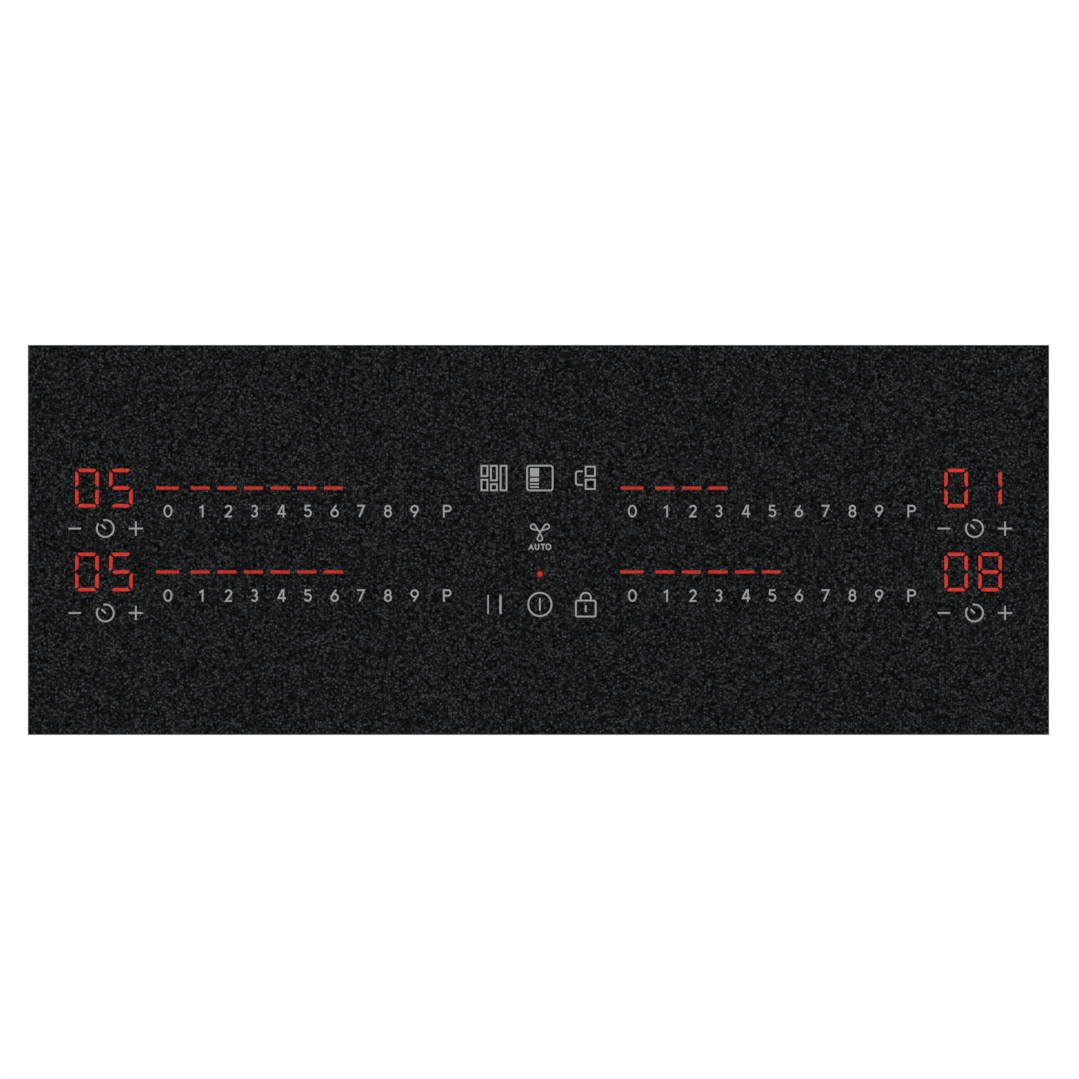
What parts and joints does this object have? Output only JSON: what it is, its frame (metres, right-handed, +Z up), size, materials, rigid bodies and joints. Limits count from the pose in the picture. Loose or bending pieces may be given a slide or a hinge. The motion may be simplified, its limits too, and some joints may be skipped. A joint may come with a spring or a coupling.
{
  "type": "built-in induction hob",
  "caption": "Flush black glass induction hob with a flexible zone and round zones, slider controls at the front and a shallow steel tray that drops into a worktop cut-out.",
  "frame": {"origin": "middle of the underside of the tray", "axes": "+X to the user's right, +Y to the rear, +Z up through the glass"},
  "size_m": [0.78, 0.52, 0.0441],
  "materials": {
    "glass": "matt black glass ceramic with a fine speckle",
    "seal_foam": "closed-cell foam",
    "galvanised_steel": "zinc-coated sheet with a faint spangle",
    "adhesive": "cured silicone bead",
    "print_grey": "fired grey enamel",
    "led_red": "red light seen through the glass",
    "screw_steel": "zinc-plated",
    "label_film": "blank silver label",
    "spring_steel": "spring steel",
    "black_plastic": "glass-filled black plastic",
    "terminal_plastic": "off-white plastic",
    "brass": "turned",
    "rubber_black": "moulded rubber",
    "aluminium_sheet": "rolled sheet",
    "former_plastic": "heat-proof moulded plastic",
    "ferrite": "sintered ferrite",
    "copper_litz": "enamelled litz wire",
    "silicone": "white silicone holder",
    "mica": "pressed mica",
    "circuit_board": "glass-fibre board with green solder mask",
    "heat_sink_aluminium": "extruded",
    "capacitor_film": "moulded boxes",
    "choke_copper": "enamelled copper turns on a core",
    "ui_plastic": "moulded carrier",
    "display_grey": "display modules",
    "light_guide": "clear moulded bars",
    "contact_spring": "plated spring wire",
    "lead_sleeve": "braided glass-fibre sleeve",
    "mains_insulation": "silicone-insulated wire",
    "ribbon_grey": "flat ribbon cable"
  },
  "bodies": {
    "chassis": {"blower_housing_left": "black_plastic", "blower_housing_right": "black_plastic", "board_connectors": "terminal_plastic", "board_standoffs": "terminal_plastic", "bottom_tray": "galvanised_steel", "buzzer": "black_plastic", "cable_grommet": "rubber_black", "capacitors": "capacitor_film", "carrier_posts": "galvanised_steel", "chokes": "choke_copper", "clip_brackets": "spring_steel", "coil_carrier_left": "aluminium_sheet", "coil_carrier_right": "aluminium_sheet", "coil_former_flex": "former_plastic", "coil_formers_round": "former_plastic", "coil_leads": "lead_sleeve", "ferrites": "ferrite", "filter_board": "circuit_board", "frame_adhesive": "adhesive", "function_symbols": "print_grey", "glass_frame": "galvanised_steel", "glass_top": "glass", "heat_sink_left": "heat_sink_aluminium", "heat_sink_right": "heat_sink_aluminium", "indicators_lit": "led_red", "light_guides": "light_guide", "mains_wires": "mains_insulation", "mica_sheets": "mica", "pan_sensors": "silicone", "power_board_left": "circuit_board", "power_board_right": "circuit_board", "rating_plate": "label_film", "ribbon_cable": "ribbon_grey", "rim_seal": "seal_foam", "slider_numerals": "print_grey", "terminal_block": "terminal_plastic", "terminal_box": "black_plastic", "terminal_clamps": "brass", "timer_digits_lit": "led_red", "timer_displays": "display_grey", "timer_symbols": "print_grey", "touch_springs": "contact_spring", "transistors": "black_plastic", "tray_screws": "screw_steel", "ui_board": "circuit_board", "ui_carrier": "ui_plastic", "winding_flex_1": "copper_litz", "winding_flex_2": "copper_litz", "winding_flex_3": "copper_litz", "winding_flex_4": "copper_litz", "winding_front": "copper_litz", "winding_rear": "copper_litz", "zone_print": "print_grey"},
    "rotor_left": {"blower_rotor_left": "black_plastic"},
    "rotor_right": {"blower_rotor_right": "black_plastic"},
    "clip_left_front": {"clip_leaf_left_front": "spring_steel"},
    "clip_left_rear": {"clip_leaf_left_rear": "spring_steel"},
    "clip_right_front": {"clip_leaf_right_front": "spring_steel"},
    "clip_right_rear": {"clip_leaf_right_rear": "spring_steel"},
    "cover": {"terminal_cover": "black_plastic"}
  },
  "joints": [
    {"name": "blower_left_spin", "type": "hinge", "parent": "chassis", "child": "rotor_left", "pos_m": [-0.078, 0.03, 0.016], "axis": [0, 0, 1], "continuous": true},
    {"name": "blower_right_spin", "type": "hinge", "parent": "chassis", "child": "rotor_right", "pos_m": [0.078, 0.03, 0.016], "axis": [0, 0, 1], "continuous": true},
    {"name": "clip_left_front_hinge", "type": "hinge", "parent": "chassis", "child": "clip_left_front", "pos_m": [-0.3732, -0.15, 0.032], "axis": [0, -1, 0], "range_deg": [0, 9], "stiffness_Nm_per_rad": 2},
    {"name": "clip_left_rear_hinge", "type": "hinge", "parent": "chassis", "child": "clip_left_rear", "pos_m": [-0.3732, 0.15, 0.032], "axis": [0, -1, 0], "range_deg": [0, 9], "stiffness_Nm_per_rad": 2},
    {"name": "clip_right_front_hinge", "type": "hinge", "parent": "chassis", "child": "clip_right_front", "pos_m": [0.3732, -0.15, 0.032], "axis": [0, 1, 0], "range_deg": [0, 9], "stiffness_Nm_per_rad": 2},
    {"name": "clip_right_rear_hinge", "type": "hinge", "parent": "chassis", "child": "clip_right_rear", "pos_m": [0.3732, 0.15, 0.032], "axis": [0, 1, 0], "range_deg": [0, 9], "stiffness_Nm_per_rad": 2},
    {"name": "terminal_cover_hinge", "type": "hinge", "parent": "chassis", "child": "cover", "pos_m": [0.2569, 0.242, 0.025], "axis": [1, 0, 0], "range_deg": [0, 90]}
  ]
}
